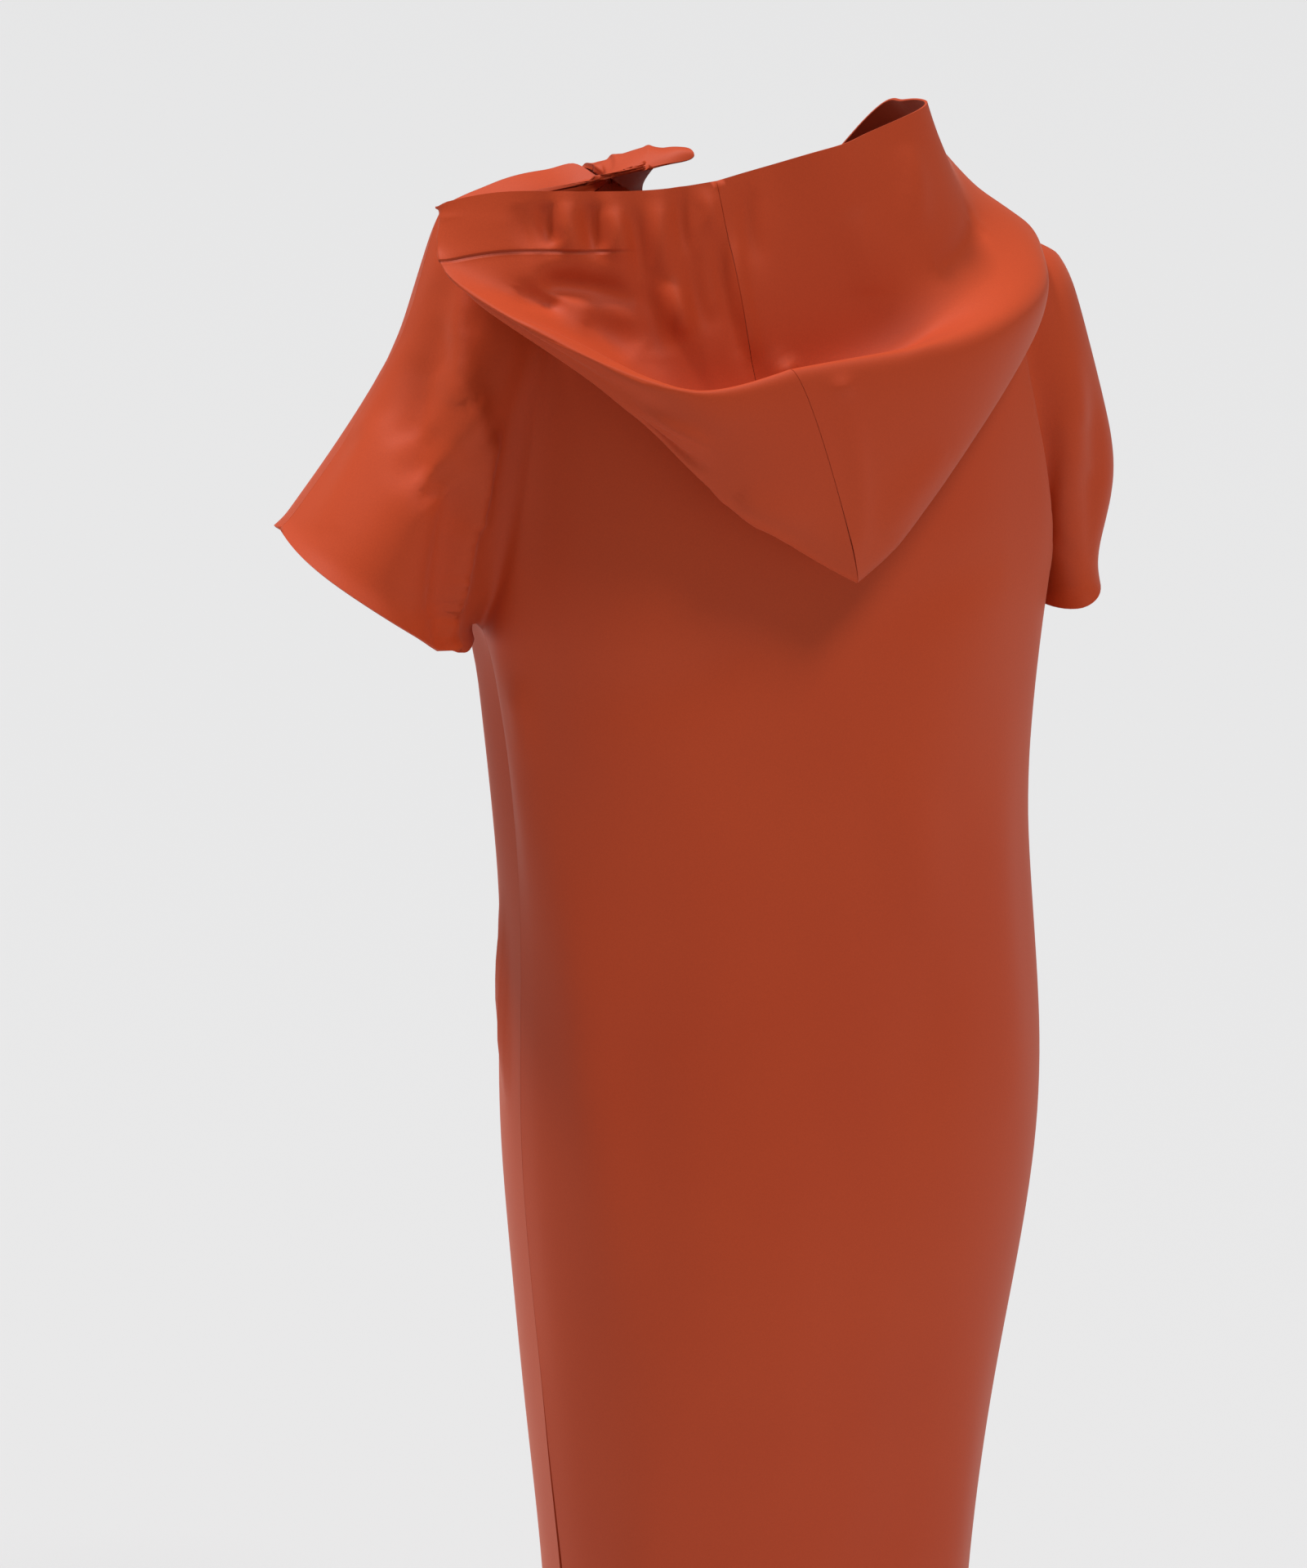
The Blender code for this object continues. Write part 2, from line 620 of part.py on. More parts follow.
def wall(name, cloth, normals, outside, inside, material):
    """A piece of cloth as a closed wall, drawn back from its neighbours by half the seam gap."""
    quads = cloth.pieces[name]
    used = sorted({n for quad in quads for n in quad})
    place = {n: k for k, n in enumerate(used)}
    points = np.array(cloth.points)[used]
    out = normals[used]
    faces = [[place[n] for n in quad] for quad in quads]
    edges = open_edges(faces)
    inward = np.zeros_like(points)
    for edge in edges:
        ahead = points[edge[1]] - points[edge[0]]
        for n in edge:
            aside = np.cross(out[n], ahead)
            inward[n] += aside / np.linalg.norm(aside)
    spans = (inward**2).sum(axis=1, keepdims=True) / 2
    points = points + inward / np.maximum(spans, SHARPEST_CORNER) * SEAM_GAP / 2
    outer = points + out * np.reshape(outside, (-1, 1))
    inner = points - out * inside
    count = len(used)
    solid = [*faces, *([n + count for n in reversed(face)] for face in faces)]
    for a, b in edges:
        # Both pieces at a seam split its side the same way, so the gap between them stays even.
        if used[a] < used[b]:
            solid += [[b, a, b + count], [a, a + count, b + count]]
        else:
            solid += [[b, a, a + count], [b, a + count, b + count]]
    mesh = bpy.data.meshes.new(name)
    mesh.from_pydata([*outer.tolist(), *inner.tolist()], [], solid)
    mesh.validate()
    mesh.shade_smooth()
    mesh.materials.append(material)
    bpy.context.scene.collection.objects.link(bpy.data.objects.new(name, mesh))


def cloth_material():
    material = bpy.data.materials.new("orange crepe")
    material.use_nodes = True
    shader = material.node_tree.nodes["Principled BSDF"]
    shader.inputs["Base Color"].default_value = CLOTH_COLOUR
    shader.inputs["Roughness"].default_value = CLOTH_ROUGHNESS
    shader.inputs["Metallic"].default_value = 0.0
    return material


def main():
    for old in list(bpy.data.objects):
        bpy.data.objects.remove(old)
    material = cloth_material()
    dress = dress_cloth()
    normals = dress.normals()
    for name in ("back_panel", "front_panel"):
        wall(name, dress, normals, 0.0, WALL, material)
    faces = [quad for quads in dress.pieces.values() for quad in quads]
    tree = BVHTree.FromPolygons([Vector(p) for p in dress.points], faces)
    hood, hem = hood_cloth(tree)
    normals = hood.normals()
    for name in ("hood_left", "hood_right"):
        used = sorted({n for quad in hood.pieces[name] for n in quad})
        wall(name, hood, normals, WALL / 2 + hem[used], WALL / 2, material)


main()
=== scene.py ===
"""A hoodie dress in heavy orange crepe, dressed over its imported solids.

Sizes in the tables and in names ending in _MM are millimetres; everything else is in metres. +Z is up, the
wearer faces -Y and +X is the wearer's left side.
"""

import heapq
import math

import bpy
import numpy as np
from mathutils import Matrix, Vector
from mathutils.bvhtree import BVHTree


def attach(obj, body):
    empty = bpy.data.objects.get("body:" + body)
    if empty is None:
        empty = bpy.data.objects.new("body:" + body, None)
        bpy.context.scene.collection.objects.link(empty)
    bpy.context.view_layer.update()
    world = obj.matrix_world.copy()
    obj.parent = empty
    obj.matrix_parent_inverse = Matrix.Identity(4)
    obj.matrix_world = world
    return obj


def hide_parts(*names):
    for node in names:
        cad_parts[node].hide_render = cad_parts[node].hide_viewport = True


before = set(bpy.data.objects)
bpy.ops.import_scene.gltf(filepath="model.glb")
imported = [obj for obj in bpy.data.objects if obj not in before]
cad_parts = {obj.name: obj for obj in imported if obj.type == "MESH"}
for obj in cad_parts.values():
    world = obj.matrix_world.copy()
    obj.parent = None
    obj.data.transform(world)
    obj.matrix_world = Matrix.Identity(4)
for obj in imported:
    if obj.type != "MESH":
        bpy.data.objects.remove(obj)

bl_info = {
    "name": "Hoodie dress",
    "version": (1, 0, 0),
    "blender": (4, 5, 0),
    "location": "View3D > Sidebar > Dress",
    "description": "Turns the packed panels of a hoodie dress into soft crepe with its folds and seams",
    "category": "Object",
}

MM = 0.001
PANELS = ("back_panel", "front_panel")
HOODS = ("hood_left", "hood_right")

# The walls of the solids: how thick they are, and how near two points are that count as one.
WALLS_MM = (1.8, 2.7)
SAME_POINT = 1e-5

# How flat two triangles are to each other, and how square, to become one face of the sheet.
QUAD_FLAT, QUAD_SQUARE = math.radians(75), math.radians(100)
SMOOTH_UP_TO = math.radians(62)

# The flat cut of a panel and of a hood panel: its width and length, its area, and how finely it is smoothed.
PANEL_FLAT, PANEL_AREA, PANEL_LEVELS = (0.86, 1.25), 0.60, 2
HOOD_FLAT, HOOD_AREA, HOOD_LEVELS = (0.45, 0.40), 0.09, 3

# The hood's face edge runs from the crown seam to the centre front, and does not pass the nape.
CROWN_MM, CENTRE_FRONT_MM, NAPE_MM = (64, 88, 8), (6, -110, -72), (0, 86, -24)

# How far the hood's turned hem stands out and over what width it rises, from how far along the edge from the
# crown it shows and over what length it appears there, and how often its measures are evened.
HEM_STANDS_MM, HEM_RISES_MM = 0.8, 4
HEM_STARTS_MM = {"hood_left": 46, "hood_right": 230}
HEM_FADES_MM = 30
HEM_REACH = 3
HEM_ROUNDS = 6

# The crepe, as sRGB hex colours: its dye, the deeper tone between its grains, the warmer tone in soft clouds,
# the pale sheen of its fibres and the painted shade that darkens the stitched groove's colour. The sizes of
# its grains, slubs and clouds, its relief, and the stitched groove's width and depth follow.
CREPE = "#bc3f16"
CREPE_DEEP = "#a33311"
CREPE_WARM = "#c84a1a"
CREPE_SHEEN = "#ffc4ae"
GROOVE_PAINTED_SHADE = "#7d2412"
GRAIN_MM, SLUB_MM = 0.9, 7
CLOUDS_PER_METRE = 6.0
RELIEF_MM = 0.10
GROOVE_WIDE_MM, GROOVE_DEEP_MM = 1.6, 0.9

# The stage: the floor's colour, size and height, and the light all round. A row for each lamp: how far round
# and up it stands (degrees), how soft its shadows are (degrees) and its strength.
FLOOR_COLOUR = "#c9c9c9"
FLOOR_SIZE, FLOOR_HEIGHT = 400, -1.6
SKY_COLOUR, SKY_STRENGTH = (0.92, 0.92, 0.95, 1), 0.18
LAMP_DISTANCE = 3
LAMPS = (
    ("key light", 58, 68, 9, 2.9),
    ("back light", 206, 58, 16, 1.35),
)

# The camera's lens and sensor (millimetres), and how far it looks aside and down from the origin's level.
LENS, SENSOR = 73.16, 36
LOOK_ASIDE, LOOK_DOWN = math.radians(1.91), math.radians(18)

# Each crease or soft ridge is laid along a given line on the cloth. Its columns: the piece (hood stands
# for both of its panels), where it starts and ends (x, y, z), how far it bows sideways, how wide it is, and
# how far it stands out (a trough is negative).
CREASE_COLUMNS = "piece x0 y0 z0 x1 y1 z1 bow width stands"
CREASES = (
    # The left sleeve, behind: the ridge that falls from the shoulder and the deep valley beside it.
    ("back_panel", 210, 46, -40, 210, 68, -345, 3, 9, 9),
    ("back_panel", 228, 34, -60, 230, 70, -290, -5, 13, -9),
    ("back_panel", 240, 10, -80, 284, 34, -210, 4, 15, 3),
    # The right sleeve, behind.
    ("back_panel", -190, 40, -110, -198, 42, -280, 4, 12, 5),
    ("back_panel", -214, 40, -140, -218, 46, -270, -3, 12, -5),
    # The back: long soft folds below the hood.
    ("back_panel", 168, 46, -350, 132, 88, -700, 10, 22, 4),
    ("back_panel", 124, 98, -330, 96, 106, -760, -8, 30, -3.5),
    ("back_panel", -30, 122, -340, -96, 112, -520, 6, 24, 3.5),
    ("back_panel", -96, 108, -300, -60, 120, -620, 10, 30, -3),
    ("back_panel", -140, 80, -310, -150, 84, -640, -8, 24, 3),
    ("back_panel", 60, 114, -400, 20, 116, -900, 12, 34, 3),
    ("back_panel", -70, 112, -700, -50, 106, -1120, 6, 34, -3),
    ("back_panel", 96, 92, -760, 112, 76, -1140, -8, 26, 3),
    ("back_panel", -120, 78, -780, -110, 74, -1130, 6, 24, 3),
    ("back_panel", 150, 66, -300, 40, 114, -260, -14, 22, -2.5),
    ("back_panel", -30, 118, -270, -130, 92, -240, 10, 22, -2.5),
    # The left shoulder's top.
    ("back_panel", 190, 30, -20, 140, 44, -4, 3, 12, 1.5),
    # The front, alike but looser, with the lip of the slanted pocket at its left side.
    ("front_panel", 206, -44, -70, 196, -54, -300, 4, 13, 8),
    ("front_panel", 226, -36, -90, 232, -62, -260, -6, 18, -7),
    ("front_panel", -190, -50, -110, -198, -70, -280, 4, 13, 5),
    ("front_panel", -216, -60, -140, -224, -80, -260, -3, 12, -4),
    ("front_panel", 120, -90, -280, 60, -110, -560, 10, 24, 4),
    ("front_panel", -110, -92, -280, -50, -112, -600, -12, 26, 4),
    ("front_panel", 60, -106, -130, 100, -104, -300, 8, 22, 3),
    ("front_panel", -50, -108, -140, -90, -106, -320, -6, 22, -3),
    ("front_panel", 20, -116, -430, 40, -112, -900, 10, 36, -3),
    ("front_panel", 96, -96, -700, 104, -82, -1130, 8, 26, 3.5),
    ("front_panel", -96, -98, -720, -100, -84, -1130, -8, 26, 3),
    ("front_panel", -20, -112, -820, -10, -106, -1140, 6, 30, 3),
    ("front_panel", 176, -14, -470, 178, 2, -590, 0, 8, 6),
    # The hood by its crown seam: gathers between the seam and the hem, with a lit fold beside the seam.
    ("hood", 66, 97, -22, 54, 114, -96, 2, 6, -3.5),
    ("hood", 58, 97, -24, 48, 114, -96, 2, 6, 5),
    ("hood", 96, 95, -48, 88, 105, -80, -2, 8, 7),
    ("hood", 82, 96, -30, 76, 106, -80, 2, 7, -3.5),
    ("hood", 112, 92, -40, 106, 104, -92, 3, 10, -5),
    ("hood", 118, 90, -4, 112, 94, -50, -2, 6, -4),
    ("hood", 100, 90, -2, 98, 96, -42, 2, 6, 4),
    ("hood", 86, 90, 4, 84, 96, -34, 2, 5, -4),
    ("hood", 72, 88, 2, 70, 96, -22, -2, 5, 3),
    ("hood", 44, 88, 4, 40, 100, -40, 3, 7, -3),
    # The hood's hem: soft dents, and the hollow below it.
    ("hood", 178, 71, -2, 174, 78, -30, 2, 6, -3),
    ("hood", 166, 75, 0, 162, 80, -28, 2, 6, -7),
    ("hood", 154, 78, 0, 150, 84, -32, 2, 6, 4),
    ("hood", 140, 82, 0, 137, 88, -32, 2, 6, -7),
    ("hood", 129, 86, -4, 126, 90, -36, -2, 6, 5),
    ("hood", 190, 82, -50, 116, 99, -58, -6, 8, -8),
    ("hood", 150, 94, -66, 120, 104, -88, 2, 12, -5),
    # The pouch: its rim, the rim's kink, the fold under the rim and the soft line down to the tip.
    ("hood", 196, 110, -62, 110, 158, -96, -4, 6, 3),
    ("hood", 34, 124, -94, 14, 162, -108, 2, 6, 6),
    ("hood", 12, 164, -114, -2, 160, -215, 3, 8, 2.5),
    ("hood", 136, 134, -118, 96, 152, -148, 3, 4, -5),
    ("hood", 134, 140, -110, 90, 158, -136, 3, 5, 4),
    ("hood", 100, 142, -172, 30, 160, -190, 6, 14, 3.5),
    ("hood", -60, 142, -150, -20, 158, -200, -6, 14, 3),
    # The right side, round the neck.
    ("hood", -128, 48, -28, -76, 94, -54, 4, 10, -4),
    ("hood", -60, 60, 20, -66, 84, -30, 3, 12, 3),
    ("hood", -86, 0, 20, -100, 20, 6, 2, 6, -2),
    ("hood", -20, 92, -10, -30, 104, -64, 4, 14, 4),
)

# Where a piece is smoothed: its middle (x, y, z), how far that reaches, and how many rounds.
SOFTENED_COLUMNS = "piece x y z reach rounds"
SOFTENED = (
    ("hood_left", 232, 38, -10, 20, 60),
    ("hood_left", 100, 46, 8, 34, 260),
    ("hood_left", 84, 0, 8, 70, 260),
    ("hood_left", 20, -104, -80, 30, 30),
    ("hood_right", -20, -104, -80, 40, 30),
)

# How many places of a crease's line are laid onto the cloth, how near to its ends it starts to rise, how
# suddenly it does so, and how much less it moves cloth that faces another way. Then the share of the way
# that a softened point moves at a time.
CREASE_PLACES = 33
CREASE_ENDS = 0.02
CREASE_SWELL = 0.6
CREASE_TURNED = 0.5
SOFTEN_SHARE = 0.6


def linear(hex_colour):
    """An sRGB hex colour as the linear colour that a shader takes."""
    channels = [int(hex_colour[k : k + 2], 16) / 255 for k in (1, 3, 5)]
    return tuple(c / 12.92 if c <= 0.04045 else ((c + 0.055) / 1.055) ** 2.4 for c in channels) + (1.0,)


def eased(t):
    """A soft rise from 0 to 1."""
    t = np.clip(t, 0.0, 1.0)
    return t * t * (3 - 2 * t)


def choose(*objects):
    """Selects just these objects and makes the first one active."""
    bpy.ops.object.select_all(action="DESELECT")
    for obj in objects:
        obj.select_set(True)
    bpy.context.view_layer.objects.active = objects[0]


def apply_modifier(obj, kind, **settings):
    """Adds a modifier, sets it up and applies it."""
    choose(obj)
    bpy.ops.object.modifier_add(type=kind)
    modifier = obj.modifiers[-1]
    for name, value in settings.items():
        setattr(modifier, name, value)
    bpy.ops.object.modifier_apply(modifier=modifier.name)


def points_of(obj):
    points = np.empty(len(obj.data.vertices) * 3)
    obj.data.vertices.foreach_get("co", points)
    return points.reshape(-1, 3)


def normals_of(obj):
    normals = np.empty(len(obj.data.vertices) * 3)
    obj.data.vertices.foreach_get("normal", normals)
    return normals.reshape(-1, 3)


def move_points(obj, points):
    obj.data.vertices.foreach_set("co", points.ravel())
    obj.data.update()


def store(obj, name, values):
    """Keeps one number for each point, for the material to read."""
    attribute = obj.data.attributes.new(name, "FLOAT", "POINT")
    attribute.data.foreach_set("value", np.asarray(values, dtype=float))


def side_faces(mesh):
    """The numbers of the faces of the wall's sides: a strip round the piece, in which each face has one edge
    straight through the wall and touches the next face on two of its edges."""
    points = [v.co for v in mesh.vertices]
    lengths = {edge.key: (points[edge.key[0]] - points[edge.key[1]]).length for edge in mesh.edges}
    through = {
        key for key, length in lengths.items() if min(abs(length - w * MM) for w in WALLS_MM) < SAME_POINT
    }
    found = {face.index for face in mesh.polygons if through.intersection(face.edge_keys)}
    users = {}
    for number in found:
        for key in mesh.polygons[number].edge_keys:
            users.setdefault(key, set()).add(number)
    strays = True
    while strays:
        strays = {
            number
            for number in found
            if sum(len(users[key] & found) > 1 for key in mesh.polygons[number].edge_keys) < 2
        }
        found -= strays
    return found


def outer_sheet(node, name, levels):
    """A copy of the outer face of a node's wall, as smooth quads."""
    obj = bpy.data.objects.new(name, node.data.copy())
    bpy.context.scene.collection.objects.link(obj)
    obj.data.materials.clear()
    choose(obj)
    bpy.ops.object.mode_set(mode="EDIT")
    bpy.ops.mesh.select_all(action="SELECT")
    bpy.ops.mesh.remove_doubles(threshold=SAME_POINT)
    bpy.ops.mesh.select_all(action="DESELECT")
    bpy.ops.mesh.select_mode(type="FACE")
    bpy.ops.object.mode_set(mode="OBJECT")
    sides = side_faces(obj.data)
    obj.data.polygons.foreach_set("select", [face.index in sides for face in obj.data.polygons])
    bpy.ops.object.mode_set(mode="EDIT")
    bpy.ops.mesh.delete(type="FACE")
    bpy.ops.mesh.separate(type="LOOSE")
    bpy.ops.object.mode_set(mode="OBJECT")
    parts = sorted(bpy.context.selected_objects, key=lambda part: -len(part.data.polygons))
    if len(parts) != 2 or len(parts[0].data.polygons) != len(parts[1].data.polygons):
        raise RuntimeError(f"{name}: the two faces of the wall were not parted")
    if name in PANELS:
        outer = max(parts, key=lambda part: np.abs(points_of(part)[:, 1]).max())
    else:
        outer = min(parts, key=lambda part: points_of(part)[:, 2].min())
    for part in parts:
        if part != outer:
            bpy.data.objects.remove(part)
    outer.name = name
    outer.data.name = name
    choose(outer)
    bpy.ops.object.mode_set(mode="EDIT")
    bpy.ops.mesh.select_all(action="SELECT")
    bpy.ops.mesh.tris_convert_to_quads(face_threshold=QUAD_FLAT, shape_threshold=QUAD_SQUARE)
    bpy.ops.object.mode_set(mode="OBJECT")
    apply_modifier(
        outer, "SUBSURF", levels=levels, render_levels=levels, boundary_smooth="PRESERVE_CORNERS"
    )
    return outer


def brought_onto(trees, line):
    """The points of a line, each moved to the nearest place on the cloth, and the cloth's way out there."""
    places, ways = [], []
    for point in line:
        hits = [tree.find_nearest(Vector(point)) for tree in trees]
        near, way, _face, _distance = min(hits, key=lambda hit: hit[3])
        places.append(near)
        ways.append(way)
    return np.array(places), np.array(ways)


def lay_creases(obj):
    """Raises the ridges and sinks the troughs of the creases table that lie on this piece."""
    points = points_of(obj)
    normals = normals_of(obj)
    moved = np.zeros(len(points))
    for row in CREASES:
        crease = dict(zip(CREASE_COLUMNS.split(), row))
        if not piece_name(obj).startswith(crease["piece"]):
            continue
        trees = [
            BVHTree.FromPolygons([v.co for v in node.data.vertices], [f.vertices for f in node.data.polygons])
            for name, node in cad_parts.items() if name.startswith(crease["piece"])
        ]
        start = np.array([crease["x0"], crease["y0"], crease["z0"]]) * MM
        end = np.array([crease["x1"], crease["y1"], crease["z1"]]) * MM
        t = np.linspace(0, 1, CREASE_PLACES)[:, None]
        line, ways = brought_onto(trees, start + (end - start) * t)
        aside = np.cross(end - start, ways)
        aside /= np.linalg.norm(aside, axis=1, keepdims=True)
        line = line + aside * np.sin(math.pi * t) * crease["bow"] * MM
        away = np.linalg.norm(points[:, None, :] - line[None, :, :], axis=2)
        nearest = np.argmin(away, axis=1)
        distance = away[np.arange(len(points)), nearest]
        fade = np.sin(math.pi * np.clip(t[nearest, 0], CREASE_ENDS, 1 - CREASE_ENDS)) ** CREASE_SWELL
        alike = np.clip(np.abs((normals * ways[nearest]).sum(axis=1)), 0, 1) ** CREASE_TURNED
        moved += crease["stands"] * MM * np.exp(-((distance / (crease["width"] * MM)) ** 2)) * fade * alike
    move_points(obj, points + normals * moved[:, None])


def piece_name(obj):
    """The maker's name of a piece, also where Blender has added a number to it."""
    return obj.name.split(".")[0]


def neighbours(obj):
    """Every edge of the sheet both ways: the point where it starts and the point where it ends."""
    edges = np.array(obj.data.edge_keys)
    return np.concatenate([edges, edges[:, ::-1]]).T


def soften(obj):
    """Smooths the places of the softened table on this piece: each point moves to between its neighbours."""
    points = points_of(obj)
    starts, ends = neighbours(obj)
    counts = np.bincount(starts, minlength=len(points))[:, None]
    for row in SOFTENED:
        spot = dict(zip(SOFTENED_COLUMNS.split(), row))
        if spot["piece"] != piece_name(obj):
            continue
        away = np.linalg.norm(points - np.array([spot["x"], spot["y"], spot["z"]]) * MM, axis=1)
        share = SOFTEN_SHARE * eased(1 - away / (spot["reach"] * MM))[:, None]
        for _ in range(spot["rounds"]):
            middles = np.zeros_like(points)
            np.add.at(middles, starts, points[ends])
            points = points + (middles / counts - points) * share
    move_points(obj, points)


def evened(obj, values):
    """The values, each one a few times over brought to the mean of itself and its neighbours."""
    starts, ends = neighbours(obj)
    counts = np.bincount(starts, minlength=len(values))
    for _ in range(HEM_ROUNDS):
        sums = np.bincount(starts, weights=values[ends], minlength=len(values))
        values = (values + sums / counts) / 2
    return values


def raise_hem(obj, depth):
    """Marks how far each point lies from the hood's face edge, and lets the turned hem stand out."""
    points = points_of(obj)
    loop = boundary_loop(obj)
    seeds = stretch_of_loop(loop, points, CROWN_MM, CENTRE_FRONT_MM, NAPE_MM)
    far, along = walked(obj, seeds, HEM_REACH * depth)
    far, along = evened(obj, far), evened(obj, along)
    store(obj, "from_edge", far)
    shows = eased((along - HEM_STARTS_MM[piece_name(obj)] * MM) / (HEM_FADES_MM * MM))
    store(obj, "hem_shows", shows)
    rise = HEM_RISES_MM * MM
    lip = eased((depth + rise / 2 - far) / rise) * shows * HEM_STANDS_MM * MM
    move_points(obj, points + normals_of(obj) * lip[:, None])


def boundary_loop(obj):
    """The numbers of the points round the sheet's edge, in order."""
    used = {}
    for face in obj.data.polygons:
        for a, b in face.edge_keys:
            used[(a, b)] = used.get((a, b), 0) + 1
    beside = {}
    for (a, b), count in used.items():
        if count == 1:
            beside.setdefault(a, []).append(b)
            beside.setdefault(b, []).append(a)
    start = next(iter(beside))
    loop = [start, beside[start][0]]
    while loop[-1] != start:
        ways = [n for n in beside[loop[-1]] if n != loop[-2]]
        loop.append(ways[0])
    return loop[:-1]


def stretch_of_loop(loop, points, corner_a, corner_b, not_by):
    """The run of the edge from one corner to another that does not pass a third place."""
    near = [
        int(np.argmin(np.linalg.norm(points[loop] - np.array(place) * MM, axis=1)))
        for place in (corner_a, corner_b, not_by)
    ]
    turned = loop[near[0] :] + loop[: near[0]]
    end = (near[1] - near[0]) % len(loop)
    passed = (near[2] - near[0]) % len(loop)
    if passed < end:
        return [turned[0]] + turned[: end - 1 : -1]
    return turned[: end + 1]


def walked(obj, seeds, furthest):
    """How far each point lies from the seed points, and where along the seeds; points that are further
    than that along the cloth keep the furthest value, also where the cloth lies folded close by."""
    points = points_of(obj)
    beside = [[] for _ in points]
    for a, b in obj.data.edge_keys:
        length = float(np.linalg.norm(points[a] - points[b]))
        beside[a].append((b, length))
        beside[b].append((a, length))
    reach = np.full(len(points), np.inf)
    reach[seeds] = 0.0
    queue = [(0.0, seed) for seed in seeds]
    while queue:
        reached, here = heapq.heappop(queue)
        if reached > reach[here]:
            continue
        for other, length in beside[here]:
            if reached + length < min(reach[other], furthest):
                reach[other] = reached + length
                heapq.heappush(queue, (reached + length, other))
    edge = points[seeds]
    places = np.concatenate([[0], np.cumsum(np.linalg.norm(np.diff(edge, axis=0), axis=1))])
    far = np.full(len(points), furthest)
    along = np.zeros(len(points))
    for here in np.flatnonzero(np.isfinite(reach)):
        away = np.linalg.norm(edge - points[here], axis=1)
        along[here] = places[away.argmin()]
        far[here] = away.min()
    return far, along


def thicken(obj, thickness):
    """Gives the sheet its second face, inward, and smooths it up to its cut edges."""
    apply_modifier(obj, "SOLIDIFY", thickness=thickness, offset=-1.0, use_even_offset=False, use_rim=True)
    choose(obj)
    bpy.ops.object.shade_smooth_by_angle(angle=SMOOTH_UP_TO)


def add_node(tree, kind, **sockets):
    """Adds a shader node. A socket's name with spaces as underscores, or _ and its number, takes a value or
    another socket; a name in lower case sets the node itself."""
    node = tree.nodes.new(kind)
    for name, value in sockets.items():
        if name.islower() and hasattr(node, name):
            setattr(node, name, value)
            continue
        socket = node.inputs[int(name[1:])] if name[0] == "_" else node.inputs[name.replace("_", " ")]
        if isinstance(value, bpy.types.NodeSocket):
            tree.links.new(value, socket)
        else:
            socket.default_value = value
    return node


def crepe_material(hem_depth):
    """Heavy crepe: the eye reads a matte, slightly pebbled cloth with a soft sheen and an even dye. On the
    hood a fine line of stitching sinks into it where the turned hem ends, and its colour there is darkened
    with painted shade."""
    material = bpy.data.materials.new("orange crepe")
    material.use_nodes = True
    tree = material.node_tree
    shader = tree.nodes["Principled BSDF"]
    place = add_node(tree, "ShaderNodeTexCoord").outputs["Object"]
    cloud = add_node(tree, "ShaderNodeTexNoise", Vector=place, Scale=CLOUDS_PER_METRE, Detail=2.0)
    grain = add_node(tree, "ShaderNodeTexNoise", Vector=place, Scale=1 / (GRAIN_MM * MM), Detail=2.0)
    slub = add_node(tree, "ShaderNodeTexNoise", Vector=place, Scale=1 / (SLUB_MM * MM), Detail=3.0)
    tone = add_node(
        tree, "ShaderNodeMix", data_type="RGBA", Factor=cloud.outputs["Fac"],
        _6=linear(CREPE), _7=linear(CREPE_WARM),
    )
    deep = add_node(tree, "ShaderNodeMapRange", Value=grain.outputs["Fac"], To_Min=0.5, To_Max=0.0)
    colour = add_node(
        tree, "ShaderNodeMix", data_type="RGBA", Factor=deep.outputs["Result"],
        _6=tone.outputs[2], _7=linear(CREPE_DEEP),
    )
    from_edge = add_node(tree, "ShaderNodeAttribute", attribute_name="from_edge").outputs["Fac"]
    shows = add_node(tree, "ShaderNodeAttribute", attribute_name="hem_shows").outputs["Fac"]
    off = add_node(tree, "ShaderNodeMath", operation="SUBTRACT", _0=from_edge, _1=hem_depth)
    near = add_node(tree, "ShaderNodeMath", operation="ABSOLUTE", _0=off.outputs[0])
    line = add_node(
        tree, "ShaderNodeMapRange", Value=near.outputs[0], From_Min=0.0, From_Max=GROOVE_WIDE_MM * MM,
        To_Min=1.0, To_Max=0.0,
    )
    stitched = add_node(
        tree, "ShaderNodeMath", operation="MULTIPLY", _0=line.outputs["Result"], _1=shows
    ).outputs[0]
    # Painted shade: along the stitched groove the colour is darkened towards a deep red, standing in for the
    # shade that falls into the groove.
    shaded = add_node(tree, "ShaderNodeMath", operation="MULTIPLY", _0=stitched, _1=0.6)
    colour_with_painted_groove_shade = add_node(
        tree, "ShaderNodeMix", data_type="RGBA", Factor=shaded.outputs[0],
        _6=colour.outputs[2], _7=linear(GROOVE_PAINTED_SHADE),
    )
    pebbles = add_node(
        tree, "ShaderNodeMath", operation="ADD", _0=grain.outputs["Fac"], _1=slub.outputs["Fac"]
    )
    weave = add_node(
        tree, "ShaderNodeBump", Height=pebbles.outputs[0], Strength=0.35, Distance=RELIEF_MM * MM
    )
    sunk = add_node(tree, "ShaderNodeMath", operation="MULTIPLY", _0=stitched, _1=-1.0)
    seam = add_node(
        tree, "ShaderNodeBump", Height=sunk.outputs[0], Strength=0.9, Distance=GROOVE_DEEP_MM * MM,
        Normal=weave.outputs["Normal"],
    )
    tree.links.new(colour_with_painted_groove_shade.outputs[2], shader.inputs["Base Color"])
    tree.links.new(seam.outputs["Normal"], shader.inputs["Normal"])
    shader.inputs["Roughness"].default_value = 0.62
    shader.inputs["Sheen Weight"].default_value = 0.14
    shader.inputs["Sheen Roughness"].default_value = 0.45
    shader.inputs["Sheen Tint"].default_value = linear(CREPE_SHEEN)
    shader.inputs["Specular IOR Level"].default_value = 0.28
    return material


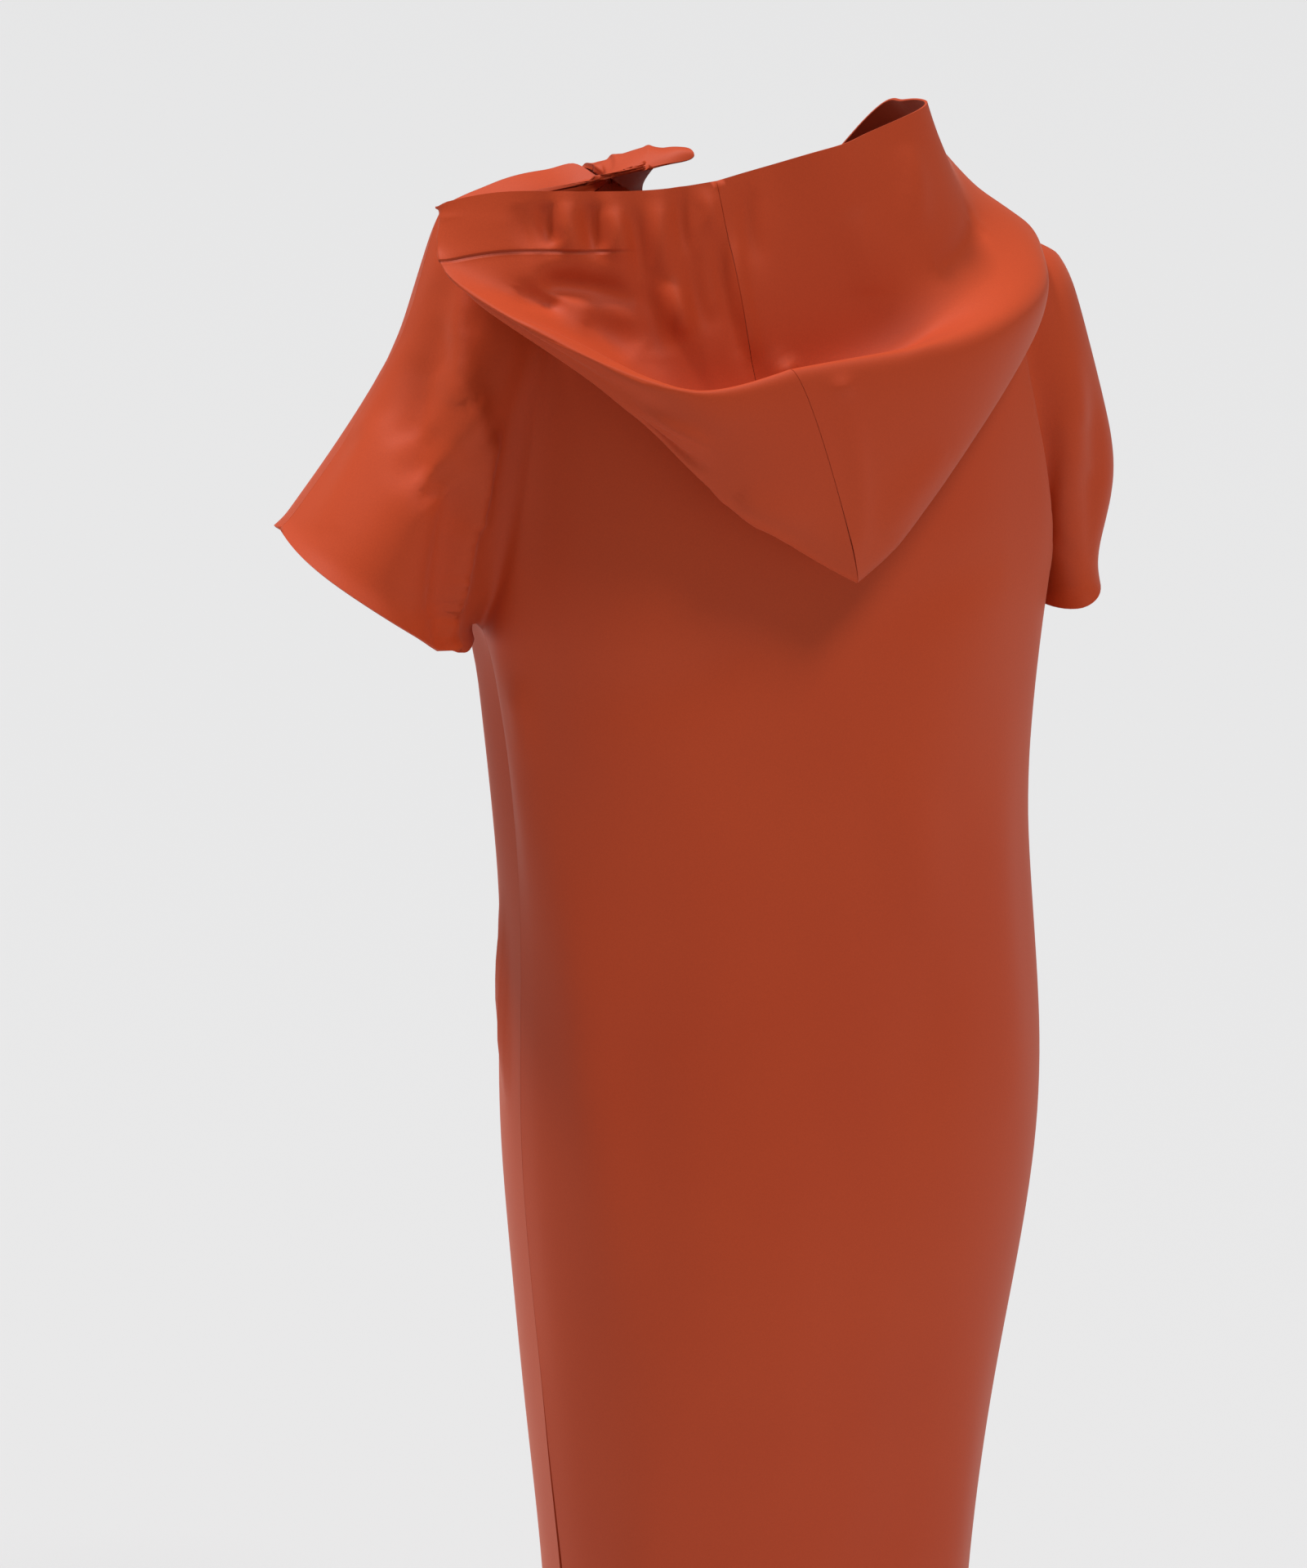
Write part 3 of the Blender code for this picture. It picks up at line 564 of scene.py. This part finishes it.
class DressSizes(bpy.types.PropertyGroup):
    """The sizes that can be set in the sidebar"""

    thickness: bpy.props.FloatProperty(
        name="Cloth thickness", description="How thick the crepe is", default=0.0016, unit="LENGTH"
    )
    hem_depth: bpy.props.FloatProperty(
        name="Hood hem", description="How deep the hood's turned face edge is", default=0.035, unit="LENGTH"
    )
    camera_height: bpy.props.FloatProperty(
        name="Camera height", description="How high the camera stands over the origin", default=0.25,
        unit="LENGTH",
    )
    camera_distance: bpy.props.FloatProperty(
        name="Camera distance", description="How far off the camera stands, level", default=2.0,
        unit="LENGTH",
    )
    camera_turn: bpy.props.FloatProperty(
        name="Camera turn", description="How far round the camera stands from the front",
        default=math.radians(158), subtype="ANGLE",
    )


def finish_piece(obj, node, material):
    """Gives a piece its cloth, and says what it rides on and what it replaces."""
    obj.data.materials.append(material)
    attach(obj, "root")
    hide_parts(node)


class DRESS_OT_panels(bpy.types.Operator):
    """Makes the back and front panels with their kimono sleeves"""

    bl_idname = "dress.panels"
    bl_label = "Back and front"

    def execute(self, context):
        sizes = context.scene.dress_sizes
        material = crepe_material(sizes.hem_depth)
        for name in PANELS:
            obj = outer_sheet(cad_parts[name], name, PANEL_LEVELS)
            lay_creases(obj)
            thicken(obj, sizes.thickness)
            finish_piece(obj, name, material)
        return {"FINISHED"}


class DRESS_OT_hood(bpy.types.Operator):
    """Makes the two panels of the hood"""

    bl_idname = "dress.hood"
    bl_label = "Hood"

    def execute(self, context):
        sizes = context.scene.dress_sizes
        material = bpy.data.materials.get("orange crepe")
        for name in HOODS:
            obj = outer_sheet(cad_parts[name], name, HOOD_LEVELS)
            soften(obj)
            raise_hem(obj, sizes.hem_depth)
            lay_creases(obj)
            thicken(obj, sizes.thickness)
            finish_piece(obj, name, material)
        return {"FINISHED"}


class DRESS_OT_stage(bpy.types.Operator):
    """Makes the floor, the lights and the camera"""

    bl_idname = "dress.stage"
    bl_label = "Stage"

    def execute(self, context):
        sizes = context.scene.dress_sizes
        bpy.ops.object.select_all(action="DESELECT")
        bpy.ops.mesh.primitive_plane_add(size=FLOOR_SIZE, location=(0, 0, FLOOR_HEIGHT))
        floor = bpy.context.active_object
        floor.name = "floor"
        paint = bpy.data.materials.new("matt studio paint")
        paint.use_nodes = True
        shader = paint.node_tree.nodes["Principled BSDF"]
        shader.inputs["Base Color"].default_value = linear(FLOOR_COLOUR)
        shader.inputs["Roughness"].default_value = 0.9
        floor.data.materials.append(paint)
        for name, turn, rise, soft, power in LAMPS:
            lamp = bpy.data.lights.new(name, "SUN")
            lamp.energy = power
            lamp.angle = math.radians(soft)
            obj = bpy.data.objects.new(name, lamp)
            context.scene.collection.objects.link(obj)
            a, e = math.radians(turn), math.radians(rise)
            off = Vector((math.sin(a) * math.cos(e), -math.cos(a) * math.cos(e), math.sin(e)))
            obj.location = off * LAMP_DISTANCE
            obj.rotation_euler = off.to_track_quat("Z", "Y").to_euler()
        world = bpy.data.worlds.new("studio")
        world.use_nodes = True
        sky = world.node_tree.nodes["Background"]
        sky.inputs["Color"].default_value = SKY_COLOUR
        sky.inputs["Strength"].default_value = SKY_STRENGTH
        context.scene.world = world
        context.scene.view_settings.view_transform = "Standard"
        camera = bpy.data.cameras.new("camera")
        camera.lens = LENS
        camera.sensor_width = SENSOR
        camera.clip_start = 0.05
        camera.clip_end = 50
        obj = bpy.data.objects.new("camera", camera)
        context.scene.collection.objects.link(obj)
        turn = sizes.camera_turn
        stand = Vector((math.sin(turn), -math.cos(turn), 0)) * sizes.camera_distance
        look = Matrix.Rotation(LOOK_ASIDE, 3, "Z") @ -stand.normalized()
        forward = look * math.cos(LOOK_DOWN) + Vector((0, 0, -math.sin(LOOK_DOWN)))
        obj.location = stand + Vector((0, 0, sizes.camera_height))
        right = look.cross(Vector((0, 0, 1)))
        up = right.cross(forward)
        obj.rotation_euler = Matrix((right, up, -forward)).transposed().to_euler()
        context.scene.camera = obj
        return {"FINISHED"}


class DRESS_PT_panel(bpy.types.Panel):
    """The dress's sizes and its steps in the sidebar"""

    bl_idname = "DRESS_PT_panel"
    bl_label = "Hoodie dress"
    bl_space_type = "VIEW_3D"
    bl_region_type = "UI"
    bl_category = "Dress"

    def draw(self, context):
        sizes = context.scene.dress_sizes
        for name in ("thickness", "hem_depth", "camera_height", "camera_distance", "camera_turn"):
            self.layout.prop(sizes, name)
        for operator in OPERATORS:
            self.layout.operator(operator.bl_idname)


OPERATORS = (DRESS_OT_panels, DRESS_OT_hood, DRESS_OT_stage)
CLASSES = (DressSizes, *OPERATORS, DRESS_PT_panel)


def register():
    for cls in CLASSES:
        bpy.utils.register_class(cls)
    bpy.types.Scene.dress_sizes = bpy.props.PointerProperty(type=DressSizes)


def unregister():
    del bpy.types.Scene.dress_sizes
    for cls in reversed(CLASSES):
        bpy.utils.unregister_class(cls)


def main():
    """Makes the pieces and the stage."""
    register()
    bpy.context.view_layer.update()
    bpy.ops.dress.panels()
    bpy.ops.dress.hood()
    bpy.ops.dress.stage()


if __name__ == "__main__":
    main()
